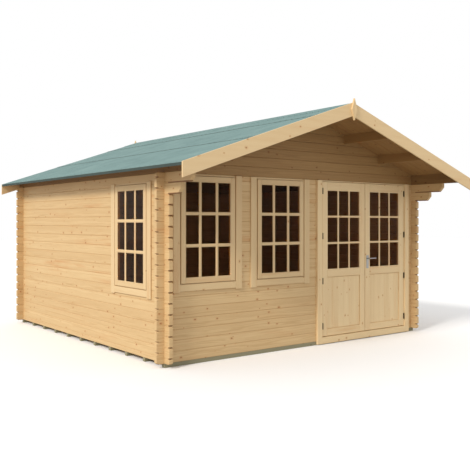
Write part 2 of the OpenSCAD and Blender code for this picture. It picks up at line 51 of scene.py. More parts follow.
# where the walls stand, read from the frame
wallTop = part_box("front_wall_left")[1][2]
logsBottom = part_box("floor_bearers")[1][2]
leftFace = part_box("left_wall")[0][0]
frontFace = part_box("front_window_frames")[1][1] - logThickness
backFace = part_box("back_wall")[1][1]
halfWidth = -leftFace

cameraView = {
    "leftOfWall": 3.749,       # metres left of the left wall's face
    "beforeWall": 6.1205,      # metres in front of the front wall's face
    "eyeHeight": 1.528,
    "turn": 37.36,             # degrees from straight ahead towards the right
    "lens": 52.53,
    "shiftY": -0.0289,
}

studio = {
    "floorSize": 90.0,
    "floorColour": (0.97, 0.97, 0.97, 1),
    "bounceColour": (0.50, 0.49, 0.47, 1),   # what the cabin's underside sees of the floor
    "skyColour": (1.0, 1.0, 1.0, 1),
    "skyStrength": 0.84,
    "backdropStrength": 1.0,
    "sunStrength": 2.15,
    "sunAngle": 12,            # degrees, the larger the softer
    "sunFrom": (-0.79, -0.20, 0.58),
}


def srgb(red, green, blue):
    channels = []
    for value in (red, green, blue):
        share = value / 255
        channels.append(share / 12.92 if share <= 0.04045 else ((share + 0.055) / 1.055) ** 2.4)
    return (*channels, 1)


# ---- shader helpers ----

def addNode(tree, kind, **settings):
    node = tree.nodes.new(kind)
    for key, value in settings.items():
        setattr(node, key, value)
    return node


def link(tree, source, target):
    tree.links.new(source, target)


def mathNode(tree, operation, first, second=None, third=None, clamp=False):
    node = addNode(tree, "ShaderNodeMath", operation=operation, use_clamp=clamp)
    for index, value in enumerate((first, second, third)):
        if value is None:
            continue
        if isinstance(value, (int, float)):
            node.inputs[index].default_value = value
        else:
            link(tree, value, node.inputs[index])
    return node.outputs[0]


def combine(tree, *parts):
    node = addNode(tree, "ShaderNodeCombineXYZ")
    for index, value in enumerate(parts):
        if isinstance(value, (int, float)):
            node.inputs[index].default_value = value
        else:
            link(tree, value, node.inputs[index])
    return node.outputs[0]


def noise(tree, vector, scale, detail=2.0, rough=0.5):
    node = addNode(tree, "ShaderNodeTexNoise", noise_dimensions="3D")
    link(tree, vector, node.inputs["Vector"])
    node.inputs["Scale"].default_value = scale
    node.inputs["Detail"].default_value = detail
    node.inputs["Roughness"].default_value = rough
    return node.outputs["Fac"]


def spread(tree, value, low, high, outLow=0.0, outHigh=1.0, smooth=True):
    node = addNode(tree, "ShaderNodeMapRange", clamp=True,
                   interpolation_type="SMOOTHSTEP" if smooth else "LINEAR")
    link(tree, value, node.inputs["Value"])
    node.inputs["From Min"].default_value = low
    node.inputs["From Max"].default_value = high
    node.inputs["To Min"].default_value = outLow
    node.inputs["To Max"].default_value = outHigh
    return node.outputs["Result"]


def mixColour(tree, factor, first, second, blend="MIX"):
    node = addNode(tree, "ShaderNodeMix", data_type="RGBA", blend_type=blend)
    for socket, value in ((node.inputs["Factor"], factor), (node.inputs[6], first),
                          (node.inputs[7], second)):
        if isinstance(value, (int, float, tuple)):
            socket.default_value = value
        else:
            link(tree, value, socket)
    return node.outputs[2]


def newGroup(name, inputs, outputs):
    tree = bpy.data.node_groups.new(name, "ShaderNodeTree")
    for label, kind, value in inputs:
        socket = tree.interface.new_socket(label, in_out="INPUT", socket_type=kind)
        if value is not None:
            socket.default_value = value
    for label, kind in outputs:
        tree.interface.new_socket(label, in_out="OUTPUT", socket_type=kind)
    source = tree.nodes.new("NodeGroupInput")
    target = tree.nodes.new("NodeGroupOutput")
    return tree, source.outputs, target.inputs


# how the pine was cut and what shows of it, in metres or as shares
pineFigure = {
    "ringSpacing": 0.0052,
    "heartShift": 0.10,        # how far the tree's heart may lie off a board's middle
    "heartDepth": 0.05,
    "heartNearest": 0.025,
    "ringSharpness": 2.2,
    "fibreStretch": 5.0,
    "fibreScale": 260.0,
    "knotStretch": 0.72,
    "knotScale": 9.5,
    "knotSmallest": 0.024,
    "knotSpread": 0.045,
    "knotStrength": 0.66,
    "haloStrength": 0.55,
    "lateWoodShade": 0.34,
    "fibreShade": 0.30,
    "broadShade": 0.50,
    "boardShade": 0.22,        # how much one board may be darker than the next
    "jointWidth": 0.005,
    # how high the painted shade in the notch under a log's end reaches
    "notchHeight": 0.0155,
}


def makePineGrain():
    figure = pineFigure
    # x runs along the grain, y across the boards, z into the wood
    tree, given, result = newGroup("pineGrain", [
        ("Vector", "NodeSocketVector", None),
        ("Seed", "NodeSocketFloat", 0.0),
        ("Board Width", "NodeSocketFloat", 10.0),
        ("Board Start", "NodeSocketFloat", 0.0),
        ("Knots", "NodeSocketFloat", 0.25),
        ("Contrast", "NodeSocketFloat", 1.0),
        ("Joint Shade", "NodeSocketFloat", 0.0),
        ("Middle", "NodeSocketFloat", 0.0),
        ("End From", "NodeSocketFloat", 1000.0),
        ("Light", "NodeSocketColor", (0.8, 0.6, 0.3, 1)),
        ("Dark", "NodeSocketColor", (0.6, 0.4, 0.2, 1)),
        ("Amber", "NodeSocketColor", (0.7, 0.35, 0.1, 1)),
        ("Knot", "NodeSocketColor", (0.2, 0.08, 0.03, 1)),
    ], [("Color", "NodeSocketColor"), ("Roughness", "NodeSocketFloat"),
        ("Height", "NodeSocketFloat")])
    axes = addNode(tree, "ShaderNodeSeparateXYZ")
    link(tree, given["Vector"], axes.inputs[0])
    along, across, deep = axes.outputs
    fromStart = mathNode(tree, "SUBTRACT", across, given["Board Start"])
    board = mathNode(tree, "FLOOR", mathNode(tree, "DIVIDE", fromStart, given["Board Width"]))
    dice = addNode(tree, "ShaderNodeTexWhiteNoise", noise_dimensions="3D")
    link(tree, combine(tree, board, given["Seed"], 3.7), dice.inputs["Vector"])
    rolls = addNode(tree, "ShaderNodeSeparateColor")
    link(tree, dice.outputs["Color"], rolls.inputs[0])
    rollA, rollB, rollC = rolls.outputs

    # each board is cut from another place along and beside the tree's heart
    alongBoard = mathNode(tree, "MULTIPLY_ADD", rollA, 41.0, along)
    middle = mathNode(tree, "MULTIPLY_ADD", board, given["Board Width"],
                      mathNode(tree, "MULTIPLY", given["Board Width"], 0.5))
    offMiddle = mathNode(tree, "SUBTRACT", fromStart, middle)
    heartShift = mathNode(tree, "MULTIPLY_ADD", rollB, figure["heartShift"],
                          -figure["heartShift"] / 2)
    beside = mathNode(tree, "ADD", offMiddle, heartShift)
    slow = combine(tree, mathNode(tree, "MULTIPLY", alongBoard, 0.9),
                   mathNode(tree, "MULTIPLY", board, 3.1), given["Seed"])
    wobble = mathNode(tree, "MULTIPLY_ADD", noise(tree, slow, 1.0, 1.0), 0.05, -0.025)
    beside = mathNode(tree, "ADD", beside, wobble)
    inBoard = mathNode(tree, "ADD", mathNode(tree, "PINGPONG", deep, 0.06), figure["heartNearest"])
    depth = mathNode(tree, "MULTIPLY_ADD", rollC, figure["heartDepth"], inBoard)
    radius = mathNode(tree, "SQRT", mathNode(tree, "ADD", mathNode(tree, "MULTIPLY", beside, beside),
                                             mathNode(tree, "MULTIPLY", depth, depth)))

    # knots, a few to a board, with the grain flowing round them
    knotPlace = combine(tree, mathNode(tree, "MULTIPLY", alongBoard, figure["knotStretch"]),
                        mathNode(tree, "MULTIPLY_ADD", board, 2.3, offMiddle), given["Seed"])
    cells = addNode(tree, "ShaderNodeTexVoronoi", voronoi_dimensions="2D", feature="F1")
    link(tree, knotPlace, cells.inputs["Vector"])
    cells.inputs["Scale"].default_value = figure["knotScale"]
    cellRolls = addNode(tree, "ShaderNodeSeparateColor")
    link(tree, cells.outputs["Color"], cellRolls.inputs[0])
    knotSize = mathNode(tree, "MULTIPLY_ADD", cellRolls.outputs[1], figure["knotSpread"],
                        figure["knotSmallest"])
    reach = mathNode(tree, "DIVIDE", cells.outputs["Distance"], knotSize)
    present = mathNode(tree, "LESS_THAN", cellRolls.outputs[0], given["Knots"])
    knot = mathNode(tree, "MULTIPLY", spread(tree, reach, 1.1, 0.75), present)
    halo = mathNode(tree, "MULTIPLY", spread(tree, reach, 3.4, 0.8), present)

    fine = combine(tree, mathNode(tree, "MULTIPLY", alongBoard, figure["fibreStretch"]),
                   mathNode(tree, "MULTIPLY", beside, figure["fibreScale"]),
                   mathNode(tree, "MULTIPLY", deep, figure["fibreScale"]))
    fibre = noise(tree, fine, 1.0, 3.0, 0.6)
    drift = combine(tree, mathNode(tree, "MULTIPLY", alongBoard, 1.4),
                    mathNode(tree, "MULTIPLY", beside, 22.0),
                    mathNode(tree, "ADD", given["Seed"], board))
    broad = noise(tree, drift, 1.0, 3.0, 0.55)
    rings = mathNode(tree, "ADD", mathNode(tree, "DIVIDE", radius, figure["ringSpacing"]),
                     mathNode(tree, "ADD", mathNode(tree, "MULTIPLY", broad, 2.6),
                              mathNode(tree, "MULTIPLY", halo, 2.2)))
    turns = mathNode(tree, "MULTIPLY", rings, 2 * math.pi)
    wave = mathNode(tree, "MULTIPLY_ADD", mathNode(tree, "SINE", turns), 0.5, 0.5)
    lateWood = mathNode(tree, "POWER", wave, figure["ringSharpness"])
    stain = combine(tree, mathNode(tree, "MULTIPLY", alongBoard, 0.8),
                    mathNode(tree, "MULTIPLY", offMiddle, 9.0),
                    mathNode(tree, "MULTIPLY_ADD", board, 1.7, given["Seed"]))
    patches = spread(tree, noise(tree, stain, 1.0, 3.0, 0.6), 0.52, 0.74)

    # most parts are lowered a little, so that much of the wood keeps its light tone
    boardPart = mathNode(tree, "MULTIPLY_ADD", rollB, figure["boardShade"], -0.06)
    broadPart = mathNode(tree, "MULTIPLY_ADD", broad, figure["broadShade"], -0.18)
    fibrePart = mathNode(tree, "MULTIPLY_ADD", fibre, figure["fibreShade"], -0.10)
    ringPart = mathNode(tree, "MULTIPLY", lateWood, figure["lateWoodShade"])
    slowPart = mathNode(tree, "ADD", broadPart, boardPart)
    shade = mathNode(tree, "ADD", ringPart, mathNode(tree, "ADD", fibrePart, slowPart))
    shade = mathNode(tree, "MULTIPLY", shade, given["Contrast"], clamp=True)
    colour = mixColour(tree, shade, given["Light"], given["Dark"])
    amber = mathNode(tree, "MULTIPLY", patches, mathNode(tree, "MULTIPLY_ADD", rollC, 0.45, 0.12))
    colour = mixColour(tree, amber, colour, given["Amber"])
    around = mathNode(tree, "MULTIPLY", halo, figure["haloStrength"])
    colour = mixColour(tree, around, colour, given["Amber"])
    within = mathNode(tree, "MULTIPLY", knot, figure["knotStrength"])
    colour = mixColour(tree, within, colour, given["Knot"])

    # darker along the joint between two boards, and painted shade in the notch under a log's end
    edge = mathNode(tree, "SUBTRACT", mathNode(tree, "MULTIPLY", given["Board Width"], 0.5),
                    mathNode(tree, "ABSOLUTE", offMiddle))
    joint = mathNode(tree, "MULTIPLY", spread(tree, edge, figure["jointWidth"], 0.0012), given["Joint Shade"])
    fromMiddle = mathNode(tree, "ABSOLUTE", mathNode(tree, "SUBTRACT", along, given["Middle"]))
    pastEnd = mathNode(tree, "SUBTRACT", fromMiddle, given["End From"])
    fromUnderside = mathNode(tree, "MULTIPLY_ADD", given["Board Width"], 0.5, offMiddle)
    # painted shade: the notch under a log's end, past the crossing wall, goes dark
    paintedNotchShade = mathNode(tree, "MULTIPLY", spread(tree, fromUnderside, figure["notchHeight"], 0.009),
                     spread(tree, pastEnd, -0.001, 0.003, 0.0, 0.8))
    colour = mixColour(tree, mathNode(tree, "MAXIMUM", joint, paintedNotchShade), colour, given["Knot"])
    link(tree, colour, result["Color"])
    link(tree, mathNode(tree, "MULTIPLY_ADD", shade, -0.10, 0.66), result["Roughness"])
    height = mathNode(tree, "ADD", mathNode(tree, "MULTIPLY", lateWood, 0.5),
                      mathNode(tree, "ADD", mathNode(tree, "MULTIPLY", fibre, 0.6),
                               mathNode(tree, "MULTIPLY", knot, -0.8)))
    link(tree, height, result["Height"])
    return tree


def makeGrit():
    tree, given, result = newGroup("feltGrit", [
        ("Vector", "NodeSocketVector", None),
        ("Scale", "NodeSocketFloat", 420.0),
        ("Light", "NodeSocketColor", (0.2, 0.4, 0.4, 1)),
        ("Dark", "NodeSocketColor", (0.1, 0.2, 0.2, 1)),
    ], [("Color", "NodeSocketColor"), ("Height", "NodeSocketFloat")])
    grains = addNode(tree, "ShaderNodeTexVoronoi", voronoi_dimensions="3D", feature="F1")
    link(tree, given["Vector"], grains.inputs["Vector"])
    link(tree, given["Scale"], grains.inputs["Scale"])
    rolls = addNode(tree, "ShaderNodeSeparateColor")
    link(tree, grains.outputs["Color"], rolls.inputs[0])
    cloud = noise(tree, given["Vector"], 3.0, 5.0, 0.6)
    mask = mathNode(tree, "MULTIPLY_ADD", rolls.outputs[0], 0.55,
                    mathNode(tree, "MULTIPLY_ADD", cloud, 0.9, -0.25), clamp=True)
    link(tree, mixColour(tree, mask, given["Light"], given["Dark"]), result["Color"])
    link(tree, mathNode(tree, "SUBTRACT", 1.0, grains.outputs["Distance"]), result["Height"])
    return tree


pineGrain = makePineGrain()
feltGrit = makeGrit()

pineTones = {
    "Light": srgb(222, 191, 142),
    "Dark": srgb(188, 148, 96),
    "Amber": srgb(196, 130, 72),
    "Knot": srgb(110, 56, 26),
}
shadedTones = {
    "Light": srgb(164, 126, 76),
    "Dark": srgb(132, 92, 50),
    "Amber": srgb(128, 78, 38),
    "Knot": srgb(62, 34, 18),
}
# darker pine for the gable, with the shade under the front overhang painted into its colour
gablePaintedShadeTones = {
    "Light": srgb(172, 136, 86),
    "Dark": srgb(141, 103, 59),
    "Amber": srgb(138, 88, 45),
    "Knot": srgb(80, 46, 24),
}
windowTones = {
    "Light": srgb(226, 198, 152),
    "Dark": srgb(196, 160, 110),
    "Amber": srgb(198, 138, 80),
    "Knot": srgb(108, 60, 30),
}
paleTones = {
    "Light": srgb(232, 204, 158),
    "Dark": srgb(206, 168, 116),
    "Amber": srgb(206, 150, 92),
    "Knot": srgb(120, 70, 38),
}
doorTones = {
    "Light": srgb(244, 218, 172),
    "Dark": srgb(218, 182, 130),
    "Amber": srgb(216, 156, 94),
    "Knot": srgb(128, 72, 36),
}
# darker pine for the eaves logs, with the shade under the roof's eaves painted into its colour
eavesPaintedShadeTones = {
    "Light": srgb(142, 108, 64),
    "Dark": srgb(112, 78, 42),
    "Amber": srgb(108, 66, 32),
    "Knot": srgb(52, 30, 16),
}
treatedTones = {
    "Light": srgb(156, 150, 120),
    "Dark": srgb(108, 102, 76),
    "Amber": srgb(120, 104, 70),
    "Knot": srgb(70, 56, 36),
}

# the order of the row axes that the grain group wants: along, across, into
grainOrders = {
    "x": (0, 2, 1), "y": (1, 2, 0), "z": (2, 0, 1),
    "boardsX": (0, 1, 2), "boardsY": (1, 0, 2),
}


def bareMaterial(name):
    material = bpy.data.materials.new(name)
    material.use_nodes = True
    tree = material.node_tree
    return material, tree, tree.nodes["Principled BSDF"]


def pine(name, order, width=10.0, start=0.0, knots=0.25, contrast=1.0, tones=pineTones,
         bump=0.25, seeded=True, jointShade=0.0, middle=0.0, endFrom=1000.0):
    material, tree, shader = bareMaterial(name)
    place = addNode(tree, "ShaderNodeTexCoord")
    axes = addNode(tree, "ShaderNodeSeparateXYZ")
    link(tree, place.outputs["Object"], axes.inputs[0])
    grain = addNode(tree, "ShaderNodeGroup", node_tree=pineGrain)
    link(tree, combine(tree, *[axes.outputs[i] for i in grainOrders[order]]), grain.inputs["Vector"])
    if seeded:
        seed = addNode(tree, "ShaderNodeAttribute", attribute_name="pieceSeed")
        link(tree, seed.outputs["Fac"], grain.inputs["Seed"])
    grain.inputs["Board Width"].default_value = width
    grain.inputs["Board Start"].default_value = start
    grain.inputs["Knots"].default_value = knots
    grain.inputs["Contrast"].default_value = contrast
    grain.inputs["Joint Shade"].default_value = jointShade
    grain.inputs["Middle"].default_value = middle
    grain.inputs["End From"].default_value = endFrom
    for label, colour in tones.items():
        grain.inputs[label].default_value = colour
    link(tree, grain.outputs["Color"], shader.inputs["Base Color"])
    link(tree, grain.outputs["Roughness"], shader.inputs["Roughness"])
    relief = addNode(tree, "ShaderNodeBump")
    relief.inputs["Strength"].default_value = bump
    relief.inputs["Distance"].default_value = 0.0008
    link(tree, grain.outputs["Height"], relief.inputs["Height"])
    link(tree, relief.outputs["Normal"], shader.inputs["Normal"])
    return material


def felt(name, light, dark):
    material, tree, shader = bareMaterial(name)
    place = addNode(tree, "ShaderNodeTexCoord")
    grit = addNode(tree, "ShaderNodeGroup", node_tree=feltGrit)
    link(tree, place.outputs["Object"], grit.inputs["Vector"])
    grit.inputs["Light"].default_value = light
    grit.inputs["Dark"].default_value = dark
    link(tree, grit.outputs["Color"], shader.inputs["Base Color"])
    shader.inputs["Roughness"].default_value = 0.93
    relief = addNode(tree, "ShaderNodeBump")
    relief.inputs["Strength"].default_value = 0.5
    relief.inputs["Distance"].default_value = 0.001
    link(tree, grit.outputs["Height"], relief.inputs["Height"])
    link(tree, relief.outputs["Normal"], shader.inputs["Normal"])
    return material


def steel(name, colour, rough):
    material, tree, shader = bareMaterial(name)
    shader.inputs["Metallic"].default_value = 1.0
    place = addNode(tree, "ShaderNodeTexCoord")
    stretched = addNode(tree, "ShaderNodeMapping")
    stretched.inputs["Scale"].default_value = (60, 60, 900)
    link(tree, place.outputs["Object"], stretched.inputs["Vector"])
    scratches = noise(tree, stretched.outputs[0], 1.0, 3.0)
    darker = tuple(value * 0.8 for value in colour[:3]) + (1,)
    link(tree, mixColour(tree, scratches, darker, colour), shader.inputs["Base Color"])
    roughness = spread(tree, scratches, 0.3, 0.7, rough - 0.06, rough + 0.08)
    link(tree, roughness, shader.inputs["Roughness"])
    relief = addNode(tree, "ShaderNodeBump")
    relief.inputs["Strength"].default_value = 0.1
    relief.inputs["Distance"].default_value = 0.0002
    link(tree, scratches, relief.inputs["Height"])
    link(tree, relief.outputs["Normal"], shader.inputs["Normal"])
    return material


def glass(name):
    material, tree, shader = bareMaterial(name)
    shader.inputs["Base Color"].default_value = (0.84, 0.60, 0.40, 1)
    shader.inputs["Transmission Weight"].default_value = 1.0
    shader.inputs["IOR"].default_value = 1.12
    place = addNode(tree, "ShaderNodeTexCoord")
    smears = noise(tree, place.outputs["Object"], 7.0, 4.0)
    link(tree, spread(tree, smears, 0.45, 0.75, 0.01, 0.07), shader.inputs["Roughness"])
    return material


# where the painted shade in the notches at the log ends begins, past the crossing wall
pastWall = logEnd["reach"] - logEnd["bevel"]
frontLogs = pine("frontLogs", "x", logPitch, logsBottom, knots=0.34, seeded=False, jointShade=0.08,
                 endFrom=halfWidth + pastWall)
sideLogs = pine("sideLogs", "y", logPitch, logsBottom - logPitch / 2, knots=0.34, seeded=False,
                jointShade=0.08, middle=(frontFace + backFace) / 2,
                endFrom=(backFace - frontFace) / 2 + pastWall)
# the eaves logs take the tones with painted shade
eavesLogs = pine("eavesLogs", "y", logPitch, wallTop, seeded=False, tones=eavesPaintedShadeTones)
# the gable logs take the tones with painted shade
gableLogs = pine("gableLogs", "x", logPitch, wallTop, knots=0.34, seeded=False, jointShade=0.15,
                 tones=gablePaintedShadeTones)
bargePine = pine("bargePine", "x", knots=0.18, contrast=0.9, tones=paleTones)
finialPine = pine("finialPine", "z", knots=0.10, contrast=0.9, tones=paleTones)
joineryX = pine("joineryX", "x", knots=0.24, tones=doorTones)
joineryZ = pine("joineryZ", "z", knots=0.24, tones=doorTones)
windowX = pine("windowX", "x", knots=0.10, contrast=0.8, tones=windowTones)
windowZ = pine("windowZ", "z", knots=0.10, contrast=0.8, tones=windowTones)
purlinPine = pine("purlinPine", "y", knots=0.2, tones=shadedTones)
slopeBoards = pine("slopeBoards", "boardsX", knots=0.3, tones=shadedTones)
floorPlanks = pine("floorPlanks", "boardsY", knots=0.3)
treatedWood = pine("treatedWood", "x", knots=0.15, tones=treatedTones, bump=0.6)
roofFelt = felt("roofFelt", srgb(129, 157, 153), srgb(80, 110, 111))
# darker felt for the turned-down band at the eaves and the strips' cut edges, with the shade under the roof's
# edge painted into its colour
feltEdgePaintedShade = felt("feltEdgePaintedShade", srgb(74, 88, 82), srgb(40, 52, 52))
brushedSteel = steel("brushedSteel", srgb(196, 197, 200), 0.34)
darkSteel = steel("darkSteel", srgb(92, 78, 60), 0.5)
clearGlass = glass("clearGlass")
print("materials made:", len(bpy.data.materials))


# ---- mesh helpers ----

seedCount = 0


def nextSeed():
    global seedCount
    seedCount += 1
    return (seedCount * 0.618034) % 1 * 50


def newMesh():
    bm = bmesh.new()
    bm.verts.layers.float.new("pieceSeed")
    return bm


def addFaces(bm, points, faces, material=0, seed=None, matrix=None):
    layer = bm.verts.layers.float["pieceSeed"]
    seed = nextSeed() if seed is None else seed
    verts = []
    for point in points:
        place = Vector(point) if matrix is None else matrix @ Vector(point)
        vert = bm.verts.new(place)
        vert[layer] = seed
        verts.append(vert)
    for i, corners in enumerate(faces):
        face = bm.faces.new([verts[k] for k in corners])
        face.material_index = material if isinstance(material, int) else material[i]


# a block with its edges taken off
def addBlock(bm, low, high, chamfer=0.002, material=0, seed=None, matrix=None):
    low, high = Vector(low), Vector(high)
    points, index = [], {}
    for sx in (0, 1):
        for sy in (0, 1):
            for sz in (0, 1):
                corner = [(low, high)[s][axis] for axis, s in enumerate((sx, sy, sz))]
                inward = [chamfer * (1 - 2 * s) for s in (sx, sy, sz)]
                for axis in range(3):
                    point = [corner[i] + (0 if i == axis else inward[i]) for i in range(3)]
                    index[(sx, sy, sz, axis)] = len(points)
                    points.append(point)
    faces = []
    ring = ((0, 0), (1, 0), (1, 1), (0, 1))
    for axis in range(3):
        others = [i for i in range(3) if i != axis]
        for side in (0, 1):
            face = []
            for pair in ring:
                signs = [0, 0, 0]
                signs[axis] = side
                signs[others[0]], signs[others[1]] = pair
                face.append(index[(*signs, axis)])
            faces.append(face)
        for pair in ring:
            signs = [0, 0, 0]
            signs[others[0]], signs[others[1]] = pair
            start, end = list(signs), list(signs)
            start[axis], end[axis] = 0, 1
            faces.append([index[(*start, others[0])], index[(*end, others[0])],
                          index[(*end, others[1])], index[(*start, others[1])]])
    for sx in (0, 1):
        for sy in (0, 1):
            for sz in (0, 1):
                faces.append([index[(sx, sy, sz, axis)] for axis in range(3)])
    addFaces(bm, points, faces, material, seed, matrix)


# an outline pushed along one axis; the outline's pairs fill the other two
def addPrism(bm, outline, axis, start, end, material=0, seed=None, matrix=None):
    others = [i for i in range(3) if i != axis]
    points = []
    for level in (start, end):
        for first, second in outline:
            point = [0, 0, 0]
            point[axis] = level
            point[others[0]], point[others[1]] = first, second
            points.append(point)
    count = len(outline)
    faces = [list(range(count)), list(range(count, 2 * count))]
    for i in range(count):
        j = (i + 1) % count
        faces.append([i, j, j + count, i + count])
    addFaces(bm, points, faces, material, seed, matrix)


# a round nail head that stands up along z, with its foot sunk in what it holds
def addNail(bm, place, material):
    radius, height, sunk, sides = 0.005, 0.0015, 0.002, 10
    points, faces = [], []
    for share, level in ((1.0, -sunk), (1.0, height / 2), (0.6, height)):
        for i in range(sides):
            angle = 2 * math.pi * i / sides
            points.append((radius * share * math.cos(angle), radius * share * math.sin(angle), level))
    for row in (0, 1):
        for i in range(sides):
            j = (i + 1) % sides
            low, high = row * sides, (row + 1) * sides
            faces.append([low + i, low + j, high + j, high + i])
    faces.append(list(reversed(range(sides))))
    faces.append([2 * sides + i for i in range(sides)])
    addFaces(bm, points, faces, material, 0.0, Matrix.Translation(place))


def finishMesh(name, bm, materials, body="cabin", replaces=(), matrix=None):
    bmesh.ops.recalc_face_normals(bm, faces=bm.faces)
    mesh = bpy.data.meshes.new(name)
    bm.to_mesh(mesh)
    bm.free()
    for material in materials:
        mesh.materials.append(material)
    piece = bpy.data.objects.new(name, mesh)
    bpy.context.scene.collection.objects.link(piece)
    if matrix is not None:
        piece.matrix_world = matrix
    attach(piece, body)
    if replaces:
        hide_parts(*replaces)
    return piece


def paint(node, material, chamfer=0.0):
    piece = nodes[node]
    piece.data.materials.clear()
    piece.data.materials.append(material)
    if chamfer:
        weld = piece.modifiers.new("weld", "WELD")
        weld.merge_threshold = 0.00005
        bevel = piece.modifiers.new("arris", "BEVEL")
        bevel.width = chamfer
        bevel.segments = 2
        bevel.limit_method = "ANGLE"
        bevel.angle_limit = math.radians(35)


# ---- camera, light and floor ----

def makeStudio():
    scene = bpy.context.scene
    data = bpy.data.cameras.new("camera")
    data.lens = cameraView["lens"]
    data.sensor_width = 36
    data.shift_y = cameraView["shiftY"]
    camera = bpy.data.objects.new("camera", data)
    camera.location = (leftFace - cameraView["leftOfWall"], frontFace - cameraView["beforeWall"],
                       cameraView["eyeHeight"])
    camera.rotation_euler = (math.radians(90), 0, -math.radians(cameraView["turn"]))
    scene.collection.objects.link(camera)
    scene.camera = camera

    sunData = bpy.data.lights.new("sun", "SUN")
    sunData.energy = studio["sunStrength"]
    sunData.angle = math.radians(studio["sunAngle"])
    sunData.color = (1.0, 0.965, 0.91)
    sun = bpy.data.objects.new("sun", sunData)
    sun.rotation_euler = Vector(studio["sunFrom"]).to_track_quat("Z", "Y").to_euler()
    scene.collection.objects.link(sun)

    world = bpy.data.worlds.new("studioSky")
    scene.world = world
    world.use_nodes = True
    sky = world.node_tree.nodes["Background"]
    sky.inputs["Color"].default_value = studio["skyColour"]
    path = addNode(world.node_tree, "ShaderNodeLightPath")
    brightness = spread(world.node_tree, path.outputs["Is Camera Ray"], 0.0, 1.0,
                        studio["skyStrength"], studio["backdropStrength"], smooth=False)
    link(world.node_tree, brightness, sky.inputs["Strength"])
    scene.view_settings.view_transform = "Standard"

    half = studio["floorSize"] / 2
    mesh = bpy.data.meshes.new("studioFloor")
    mesh.from_pydata([(-half, -half, 0), (half, -half, 0), (half, half, 0), (-half, half, 0)], [],
                     [(0, 1, 2, 3)])
    floor = bpy.data.objects.new("studioFloor", mesh)
    scene.collection.objects.link(floor)
    material, tree, shader = bareMaterial("paleFloor")
    seen = addNode(tree, "ShaderNodeLightPath").outputs["Is Camera Ray"]
    link(tree, mixColour(tree, seen, studio["bounceColour"], studio["floorColour"]),
         shader.inputs["Base Color"])
    shader.inputs["Roughness"].default_value = 0.9
    mesh.materials.append(material)


makeStudio()
print("studio ready")


# ---- walls, bearers and purlins keep their frame shapes ----

for node in ("front_wall_left", "front_wall_right", "back_wall"):
    paint(node, frontLogs)
for node in ("left_wall", "right_wall", "left_corbel_logs", "right_corbel_logs"):
    paint(node, sideLogs)
for node in ("left_eaves_log", "right_eaves_log"):
    paint(node, eavesLogs)
for node in ("front_gable", "back_gable"):
    paint(node, gableLogs)
paint("floor_bearers", treatedWood, 0.003)
for node in ("ridge_purlin", "left_purlins", "right_purlins"):
    paint(node, purlinPine, 0.003)
for node in ("front_finial", "back_finial"):
    paint(node, finialPine, 0.002)
for node in ("left_door_hinges", "right_door_hinges", "left_jamb_hinges", "right_jamb_hinges"):
    paint(node, darkSteel, 0.0005)
for node in ("front_window_glass", "side_window_glass", "left_door_glass", "right_door_glass"):
    paint(node, clearGlass)
print("frame pieces painted")


# ---- roof ----

roof = {
    "slope": math.radians(18.85),
    "boardThickness": 0.019,
    "boardWidth": 0.0904,
    "boardChamfer": 0.003,
    "feltThickness": 0.003,
    "stripWidth": 1.0,
    "stripLap": 0.08,
    "turndown": 0.028,
    "columns": 46,
    "stepLength": 0.12,
    "lapTaper": 0.14,          # over which a lapped strip comes down to the boards
    "nailPitch": 0.10,
    "nailInset": 0.025,        # from a strip's lower edge to its row of nails
}
rise = math.tan(roof["slope"])
boardsLow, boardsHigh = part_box("left_roof_boards")
boardTop = boardsHigh[2]                      # top of the boards at the ridge
eaveX = -boardsLow[0]
roofStart, roofEnd = boardsLow[1], boardsHigh[1]


# side is -1 for the left half and 1 for the right
def slopeMatrix(side):
    turn = Matrix(((side * math.cos(roof["slope"]), 0, side * math.sin(roof["slope"])),
                   (0, 1, 0),
                   (-math.sin(roof["slope"]), 0, math.cos(roof["slope"]))))
    return Matrix.Translation((0, 0, boardTop)) @ turn.to_4x4()


def makeRoofBoards(side, name, node):
    thickness = roof["boardThickness"]
    length = eaveX / math.cos(roof["slope"])
    count = round((roofEnd - roofStart) / roof["boardWidth"])
    width = (roofEnd - roofStart) / count
    bm = newMesh()
    for i in range(count):
        addBlock(bm, (thickness * rise, roofStart + i * width, -thickness),
                 (length, roofStart + (i + 1) * width, 0), roof["boardChamfer"])
    finishMesh(name, bm, [slopeBoards], replaces=[node], matrix=slopeMatrix(side))


makeRoofBoards(-1, "roofBoardsLeft", "left_roof_boards")
makeRoofBoards(1, "roofBoardsRight", "right_roof_boards")


# how far the felt stands off its base where it is slightly wavy
def feltRipple(along, y):
    return abs(0.0009 * math.sin(y * 5.1 + along * 3.0) + 0.0007 * math.sin(y * 11.7 - along * 7.0))


# a row of clout nails across the roof, its heads at the given height over the boards
def addNailRow(bm, along, height):
    inset = roof["nailInset"]
    start, end = roofStart + inset, roofEnd - inset
    count = round((end - start) / roof["nailPitch"])
    for i in range(count + 1):
        y = start + (end - start) * i / count
        addNail(bm, (along, y, height + feltRipple(along, y)), material=2)


